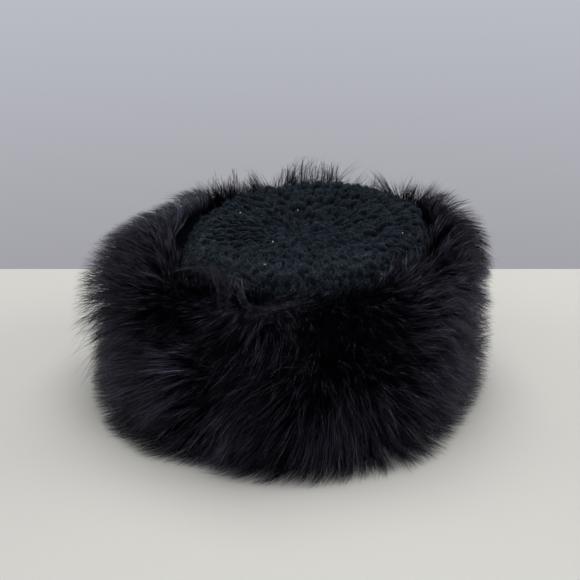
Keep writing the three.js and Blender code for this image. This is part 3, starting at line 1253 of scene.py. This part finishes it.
            # painted light and shade for each lock, with a random tone for each hair
            painted_light_and_tones.append(lock.tone * np.exp(self.random.normal(0, 0.45, lock.hairs)))
        path, tone = np.concatenate(paths), np.concatenate(painted_light_and_tones)
        taper = 0.12 * MM * np.array([0.5, 1, 0.9, 0.6, 0])
        radii = self.random.uniform(0.7, 1.2, len(path))[:, None] * taper[None]
        hints = unit(self.random.normal(0, 1, (len(path), 3)))
        points, faces = tubes(path, radii, 3, True, hints)
        ring = 3 * (rings - 1) + 1
        along = np.concatenate([np.repeat(np.linspace(0, 1, rings)[:-1], 3), [1]])
        marks = {"tone": np.repeat(tone, ring), "along": np.tile(along, len(path))}
        finish = self.lock_finish.material()
        return add_mesh(f"{self.name}_swept_locks", points, faces, finish, marks)

    def build(self) -> list[bpy.types.Object]:
        """Builds the strip's underfur and its hair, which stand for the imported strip.

        Returns:
            The new pieces.
        """
        bed = self.body()
        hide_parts(self.node)
        guide = self.guides()
        pieces = [bed] + [self.hair(kind, guide) for kind in self.kinds]
        if self.locks:
            pieces.append(self.swept())
        return pieces


def smooth_loop(values: np.ndarray, share: np.ndarray) -> np.ndarray:
    """Eases a closed row of values with a Catmull-Rom curve.

    Args:
        values: the row, whose last value joins the first.
        share: places along it, from 0 to 1.

    Returns:
        The value at each place.
    """
    count = len(values)
    place = share * count
    k = np.floor(place).astype(int)
    t = place - k
    a, b, c, d = (values[(k + step) % count] for step in (-1, 0, 1, 2))
    return 0.5 * (
        2 * b + (c - a) * t + (2 * a - 5 * b + 4 * c - d) * t**2 + (3 * b - a - 3 * c + d) * t**3
    )


def nearest(points: np.ndarray, centres: np.ndarray) -> np.ndarray:
    """Finds the nearest centre to each point.

    Args:
        points: n by 3.
        centres: m by 3.

    Returns:
        The number of each point's centre.
    """
    found = []
    squares = (centres**2).sum(1)
    for chunk in np.array_split(points, max(1, len(points) // 2000)):
        found.append(np.argmin(squares[None] - 2 * chunk @ centres.T, axis=1))
    return np.concatenate(found)


def settle(
    path: np.ndarray, middle: tuple[float, float], lowest: float, random: np.random.Generator
) -> np.ndarray:
    """Keeps hairs off the table: where one would pass through, it runs out along the top.

    Args:
        path: n by k by 3 points along the hairs.
        middle: the middle of the hem, which hairs on the table run away from.
        lowest: the lowest height of a hair on the table.
        random: the strip's random numbers.

    Returns:
        The settled paths.
    """
    steps = np.diff(path, axis=1)
    floor = lowest + random.uniform(0, 1.6 * MM, len(path))
    settled = [path[:, 0]]
    for k in range(steps.shape[1]):
        step, here = steps[:, k], settled[-1]
        there = here + step
        low = there[:, 2] < floor
        drop = np.clip(floor - here[:, 2], -np.linalg.norm(step, axis=1) * 0.9, None)
        flat = np.sqrt(np.maximum((step**2).sum(1) - drop**2, 0))
        away = step[:, :2] + 0.3 * unit(here[:, :2] - np.array(middle)) * np.abs(step[:, 2:])
        bent = here + np.concatenate([unit(away) * flat[:, None], drop[:, None]], axis=1)
        settled.append(np.where(low[:, None], bent, there))
    return np.stack(settled, axis=1)


def upper_strip(form: HatForm) -> FurStrip:
    """Describes the upper strip of fur."""
    return FurStrip(
        form=form,
        name="upper_fur",
        node="upper_fur_strip",
        depth="upper",
        section=[
            SectionPoint("inner foot", 0, 0.02),
            SectionPoint("inner side", 0, 0.6),
            SectionPoint("crest", 0.42, 1),
            SectionPoint("shoulder", 0.82, 0.86),
            SectionPoint("bulge", 1, 0.5),
            SectionPoint("underside", 0.95, 0.14),
            SectionPoint("part", 0.6, 0.02),
        ],
        rest_up=(0, 0.1, 0, -0.1, 0, -0.2, -0.6, -0.8),
        # each stroke's last number is painted light and shade: low in hollows where shade falls, high where
        # the hair should catch the light
        strokes=[
            Stroke(97, 0.9, 0.0, -0.1, 9, 3.0, 1.5, 1.0),
            Stroke(120, 0.95, 0.0, 0.1, 8, 1.5, 1.0, 1.0),
            Stroke(135, 0.95, 0.3, 0.0, 6, 2.5, 1.4, 0.3),
            Stroke(152, 0.97, 0.0, -0.9, 9, 1.5, 1.05, 2.6),
            Stroke(166, 0.97, -0.1, -0.8, 9, 1.5, 1.0, 2.0),
            Stroke(168, 0.78, 0.0, 0.5, 12, 1.0, 1.1, 1.6),
            Stroke(186, 0.97, -0.2, -0.7, 9, 1.5, 1.05, 1.5),
            Stroke(184, 0.78, -0.1, 0.3, 9, 1.0, 1.0, 1.3),
            Stroke(200, 0.68, -0.3, -0.1, 9, 1.0, 0.98, 1.6),
            Stroke(186, 0.56, -0.1, -0.2, 11, 1.5, 1.08, 1.3),
            Stroke(206, 0.57, -0.3, -0.4, 9, 1.0, 1.02, 1.3),
            Stroke(199, 0.9, -0.2, 0.0, 9, 3.0, 0.9, 0.13),
            Stroke(224, 0.86, -0.1, 0.0, 7, 2.5, 0.6, 0.1),
            Stroke(233, 0.75, 0.0, 0.0, 6, 3.0, 0.6, 0.1),
            Stroke(231, 0.64, -0.4, -0.2, 8, 2.5, 0.75, 0.1),
            Stroke(226, 1.0, 0.9, 0.2, 8, 1.5, 1.2, 3.0),
            Stroke(242, 0.88, 0.3, -0.9, 5, 2.0, 1.1, 1.1),
            Stroke(246, 1.0, 1.1, -0.1, 8, 2.5, 1.2, 3.4),
            Stroke(257, 0.87, 1.1, -0.4, 6, 2.0, 1.1, 2.4),
            Stroke(244, 0.73, -0.3, -0.5, 6, 2.0, 0.9, 0.12),
            Stroke(252, 0.72, -0.8, -0.5, 7, 1.0, 0.9, 0.5),
            Stroke(262, 0.57, -1.0, -0.6, 8, 1.5, 1.0, 0.9),
            Stroke(268, 0.95, 0.5, -0.9, 6, 2.0, 0.85, 0.4),
            Stroke(284, 0.97, 0.2, -1.0, 8, 2.5, 0.75, 0.3),
            Stroke(278, 0.8, 0.2, -0.3, 8, 2.0, 0.65, 0.15),
            Stroke(290, 0.76, 0.1, -0.2, 8, 2.5, 0.6, 0.1),
            Stroke(284, 0.6, 0.0, -0.4, 9, 2.0, 0.7, 0.12),
            Stroke(302, 0.95, 0.3, -0.8, 8, 2.0, 0.85, 0.8),
            Stroke(305, 0.7, 0.4, -0.1, 8, 1.5, 0.85, 1.3),
            Stroke(320, 0.74, 0.4, -0.15, 8, 1.0, 0.95, 2.4),
            Stroke(338, 0.76, 0.3, 0.0, 10, 1.5, 0.98, 2.6),
            Stroke(358, 0.78, 0.0, 0.2, 10, 1.5, 0.97, 2.3),
            Stroke(338, 0.56, 0.2, -0.4, 9, 1.5, 1.25, 1.8),
            Stroke(323, 0.97, 0.2, -0.4, 7, 3.0, 0.85, 0.08),
            Stroke(339, 0.95, 0.1, -0.5, 8, 2.5, 1.05, 0.12),
            Stroke(352, 0.98, 0.1, -0.8, 8, 2.5, 1.2, 0.1),
            Stroke(13, 1.0, 0.1, -0.8, 9, 3.0, 1.4, 0.15),
            Stroke(6, 0.84, 0.1, 0.1, 10, 1.5, 1.0, 2.6),
            Stroke(4, 0.56, 0.0, -0.3, 10, 1.5, 1.28, 1.4),
            Stroke(32, 1.0, 0.0, -0.2, 12, 2.0, 1.2, 0.4),
        ],
        # each lock's last number is its painted light and shade
        locks=(
            SweptLock(
                (
                    LockPoint(206, 91 * MM, 22 * MM),
                    LockPoint(216, 99 * MM, 13 * MM),
                    LockPoint(226, 103 * MM, 8 * MM),
                    LockPoint(238, 103 * MM, 8 * MM),
                    LockPoint(250, 100 * MM, 10 * MM),
                ),
                110,
                22,
                7 * MM,
                0.9,
            ),
            SweptLock(
                (
                    LockPoint(222, 107 * MM, 4 * MM),
                    LockPoint(230, 104 * MM, 10 * MM),
                    LockPoint(236, 98 * MM, 15 * MM),
                    LockPoint(239, 91 * MM, 19 * MM),
                ),
                100,
                30,
                6 * MM,
                0.6,
            ),
            SweptLock(
                (
                    LockPoint(240, 106 * MM, 11 * MM),
                    LockPoint(241.5, 101 * MM, 17 * MM),
                    LockPoint(240.5, 94 * MM, 19 * MM),
                    LockPoint(243, 88 * MM, 24 * MM),
                    LockPoint(248, 86 * MM, 26 * MM),
                    LockPoint(254, 88 * MM, 23 * MM),
                    LockPoint(261, 91 * MM, 18 * MM),
                    LockPoint(269, 94 * MM, 15 * MM),
                ),
                230,
                30,
                4.5 * MM,
                1.5,
            ),
            SweptLock(
                (
                    LockPoint(243, 105 * MM, 13 * MM),
                    LockPoint(245, 100 * MM, 16 * MM),
                    LockPoint(246.5, 95 * MM, 19 * MM),
                    LockPoint(250, 91.5 * MM, 22 * MM),
                    LockPoint(256, 91 * MM, 20 * MM),
                    LockPoint(264, 94 * MM, 16 * MM),
                ),
                130,
                16,
                2.5 * MM,
                1.5,
            ),
            SweptLock(
                (
                    LockPoint(240, 91 * MM, 20 * MM),
                    LockPoint(246, 84 * MM, 26 * MM),
                    LockPoint(254, 83 * MM, 27 * MM),
                    LockPoint(262, 86 * MM, 23 * MM),
                    LockPoint(272, 91 * MM, 17 * MM),
                ),
                190,
                40,
                5 * MM,
                0.4,
            ),
            SweptLock(
                (LockPoint(80, 88 * MM, 13 * MM), LockPoint(81, 119 * MM, 9 * MM)), 330, 70, 12 * MM, 0.9
            ),
            SweptLock(
                (LockPoint(94, 87 * MM, 13 * MM), LockPoint(95, 118 * MM, 9 * MM)), 360, 70, 12 * MM, 0.8
            ),
            SweptLock(
                (LockPoint(127, 90 * MM, 13 * MM), LockPoint(131, 115 * MM, 12 * MM)), 240, 60, 11 * MM, 0.5
            ),
        ),
        seed=23,
        first_root=0.22,
        last_root=0.86,
        crest_extra=1.2,
    )


def lower_strip(form: HatForm) -> FurStrip:
    """Describes the lower strip of fur."""
    return FurStrip(
        form=form,
        name="lower_fur",
        node="lower_fur_strip",
        depth="lower",
        section=[
            SectionPoint("inner foot", 0, 0.02),
            SectionPoint("inner top", 0, 0.98),
            SectionPoint("part", 0.62, 1),
            SectionPoint("shoulder", 0.93, 0.86),
            SectionPoint("bulge", 1, 0.5),
            SectionPoint("foot", 0.95, 0.14),
            SectionPoint("sole", 0.75, 0.02),
        ],
        rest_up=(0, -0.2, -0.4, -0.5, -0.6, -0.5, -0.3, -0.2),
        # each stroke's last number is painted light and shade: low in hollows where shade falls, high where
        # the hair should catch the light
        strokes=[
            Stroke(180, 0.12, 0.0, -0.3, 14, 1.0, 0.95),
            Stroke(184, 0.4, -0.1, 0.0, 12, 1.5, 1.22, 1.3),
            Stroke(208, 0.4, -0.4, -0.1, 9, 1.0, 0.98, 1.5),
            Stroke(208, 0.13, -0.4, -0.2, 9, 1.0, 0.9, 1.4),
            Stroke(226, 0.06, -0.3, -0.3, 10, 1.0, 1.05, 1.2),
            Stroke(230, 0.3, -0.8, -0.3, 9, 1.0, 0.98, 1.5),
            Stroke(240, 0.46, -0.7, -0.5, 6, 1.0, 1.0, 2.4),
            Stroke(253, 0.46, -0.7, -0.5, 5, 1.5, 0.95, 0.3),
            Stroke(235, 0.12, -0.6, -0.5, 8, 1.0, 0.98, 0.9),
            Stroke(246, 0.35, 0.0, 0.0, 3, 3.0, 0.6, 0.1),
            Stroke(253, 0.27, -0.5, -1.0, 6, 2.0, 0.95, 2.4),
            Stroke(253, 0.08, -0.3, -0.9, 7, 1.5, 0.82, 2.0),
            Stroke(263, 0.2, -0.4, -0.6, 4, 1.5, 0.95, 1.3),
            Stroke(272, 0.08, -0.3, -0.4, 4, 2.5, 0.95, 0.15),
            Stroke(268, 0.45, -1.0, -0.4, 7, 1.5, 0.95, 1.2),
            Stroke(269, 0.28, -0.6, -0.4, 4, 1.5, 0.95, 0.7),
            Stroke(279, 0.18, -0.35, -1.0, 6, 2.5, 1.0, 2.6),
            Stroke(287, 0.27, 0.0, -0.9, 6, 2.5, 1.0, 2.6),
            Stroke(289, 0.04, 0.0, -0.4, 7, 2.0, 1.05, 1.2),
            Stroke(288, 0.48, 0.0, -0.3, 9, 2.5, 0.75, 0.1),
            Stroke(300, 0.2, 0.5, -0.7, 8, 1.0, 1.02, 1.8),
            Stroke(301, 0.06, 0.2, -0.2, 8, 1.5, 1.25, 1.4),
            Stroke(305, 0.42, 0.4, -0.2, 8, 1.5, 0.9, 1.3),
            Stroke(317, 0.15, 0.6, -0.4, 8, 1.0, 1.04, 2.0),
            Stroke(322, 0.35, 0.6, -0.1, 8, 1.0, 1.02, 2.3),
            Stroke(345, 0.34, 0.4, -0.1, 10, 1.5, 1.28, 1.8),
            Stroke(2, 0.36, 0.1, -0.1, 10, 1.5, 1.32, 1.2),
        ],
        silhouette=((0, 0.5, 0.8, 1.0, 1.2, 1.4), (1, 1, 1, 0.95, 0.85, 0.5)),
        seed=24,
        first_root=0.24,
        last_root=0.82,
    )


# Studio


@dataclass(frozen=True)
class SoftBox:
    """A large soft lamp that looks at a point."""

    name: str
    place: tuple[float, float, float]
    aim: tuple[float, float, float]
    side: float
    power: float
    colour: str = "#FFFFFF"


@dataclass
class Studio:
    """A pale table in front of a pale wall, in the soft light of a room."""

    image: float = 580  # the photo's width in pixels
    focal: float = 800  # the lens's focal length in the same pixels
    pitch: float = 24  # degrees that the camera looks down
    distance: float = 575 * MM
    aim: tuple[float, float, float] = (2.5 * MM, 0.0, 63 * MM)
    horizon: float = 269  # pixel row of the table's far edge
    sensor: float = 36.0
    table_size: float = 6.0
    table_depth: float = 30 * MM
    # the wall is drawn darker towards the table: painted shade at its foot
    wall_low_shaded: str = "#A1A1A7"
    wall_high_lit: str = "#BABCC4"
    wall_rows: tuple[float, float] = (-0.38, -0.07)  # the view's slope at the two colours
    dimness: float = 0.5  # the room's light as a share of what the wall's colours would give
    lamps: tuple[SoftBox, ...] = (
        SoftBox("ceiling_light", (0.1, 0.65, 1.75), (0, 0, 0.03), 1.4, 19.5),
        SoftBox("front_window", (-0.3, -2.1, 0.9), (0, 0, 0.06), 1.2, 7),
        SoftBox("right_window", (1.7, 0.3, 0.9), (0, 0, 0.06), 1.0, 10),
        SoftBox("left_window", (-1.7, 0.3, 0.9), (0, 0, 0.06), 1.0, 6.5),
    )

    def table(self) -> bpy.types.Object:
        """Builds the table, whose far edge lies where the photo shows it."""
        pitch = math.radians(self.pitch)
        up = math.atan((self.image / 2 - self.horizon) / self.focal)
        eye_height = self.aim[2] + self.distance * math.sin(pitch)
        eye_back = self.aim[1] - self.distance * math.cos(pitch)
        far = eye_back + eye_height / math.tan(pitch - up)
        half, low = self.table_size / 2, -self.table_depth
        x0, x1, y0, y1 = -half, half, far - self.table_size, far
        points = np.array(
            [(x, y, z) for z in (low, 0) for x, y in ((x0, y0), (x1, y0), (x1, y1), (x0, y1))]
        )
        faces = np.array(
            [(0, 3, 2, 1), (4, 5, 6, 7), (0, 1, 5, 4), (1, 2, 6, 5), (2, 3, 7, 6), (3, 0, 4, 7)]
        )
        finish = PlainSurface("table_lacquered_board", "#E1DFD7", 0.5)
        board = add_mesh("table", points, faces, finish.material())
        board.data.shade_flat()
        return board

    def camera(self) -> None:
        """Makes the camera at the photo's angle and distance."""
        pitch = math.radians(self.pitch)
        data = bpy.data.cameras.new("camera")
        data.sensor_width = self.sensor
        data.lens = self.sensor * self.focal / self.image
        seen = bpy.data.objects.new("camera", data)
        x, y, z = self.aim
        back = self.distance * math.cos(pitch)
        seen.location = (x, y - back, z + self.distance * math.sin(pitch))
        seen.rotation_euler = (math.radians(90) - pitch, 0, 0)
        bpy.context.scene.collection.objects.link(seen)
        bpy.context.scene.camera = seen

    def room(self) -> bpy.types.World:
        """Makes the room: the camera sees its pale wall, drawn darker towards the table as painted shade,
        and the rest of it is dimmer.
        """
        world = bpy.data.worlds.new("room")
        world.use_nodes = True
        tree = world.node_tree
        tree.nodes.clear()
        ray = add_node(tree, "ShaderNodeLightPath")
        place = add_node(tree, "ShaderNodeTexCoord")
        slope = add_node(
            tree, "ShaderNodeSeparateXYZ", values={"Vector": place.outputs["Generated"]}
        )
        rise = add_node(tree, "ShaderNodeMapRange", values={"Value": slope.outputs["Z"]})
        rise.inputs["From Min"].default_value, rise.inputs["From Max"].default_value = self.wall_rows
        # painted shade: the wall's colour darkens towards the table
        wall_painted_shade = add_node(
            tree, "ShaderNodeMix", {"data_type": "RGBA"}, {"Factor": rise.outputs["Result"]}
        )
        wall_painted_shade.inputs["A"].default_value = linear(self.wall_low_shaded)
        wall_painted_shade.inputs["B"].default_value = linear(self.wall_high_lit)
        wall = wall_painted_shade.outputs["Result"]
        dim = add_node(tree, "ShaderNodeBackground", values={"Color": wall, "Strength": self.dimness})
        seen = add_node(tree, "ShaderNodeBackground", values={"Color": wall})
        both = add_node(tree, "ShaderNodeMixShader", values={"Fac": ray.outputs["Is Camera Ray"]})
        tree.links.new(dim.outputs[0], both.inputs[1])
        tree.links.new(seen.outputs[0], both.inputs[2])
        add_node(tree, "ShaderNodeOutputWorld", values={"Surface": both.outputs[0]})
        return world

    def light(self) -> None:
        """Hangs the lamps and sets the room round them."""
        for lamp in self.lamps:
            data = bpy.data.lights.new(lamp.name, "AREA")
            data.size, data.energy = lamp.side, lamp.power
            data.color = linear(lamp.colour)[:3]
            hung = bpy.data.objects.new(lamp.name, data)
            hung.location = lamp.place
            way = Vector(lamp.aim) - Vector(lamp.place)
            hung.rotation_euler = way.to_track_quat("-Z", "Y").to_euler()
            bpy.context.scene.collection.objects.link(hung)
        bpy.context.scene.world = self.room()

    def build(self) -> None:
        """Sets up the camera, the lamps and the table."""
        self.camera()
        self.light()
        self.table()
        bpy.context.scene.view_settings.view_transform = "Standard"


def main() -> None:
    logging.basicConfig(level=logging.INFO, format="%(name)s: %(message)s")
    Studio().build()
    form = HatForm()
    triangles = 0
    for part in (CrochetedCap(form), upper_strip(form), lower_strip(form)):
        for piece in part.build():
            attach(piece, "root")
            count = sum(len(face.vertices) - 2 for face in piece.data.polygons)
            triangles += count
            log.info("%s: %d triangles", piece.name, count)
    log.info("all pieces: %d triangles", triangles)


if __name__ == "__main__":
    main()
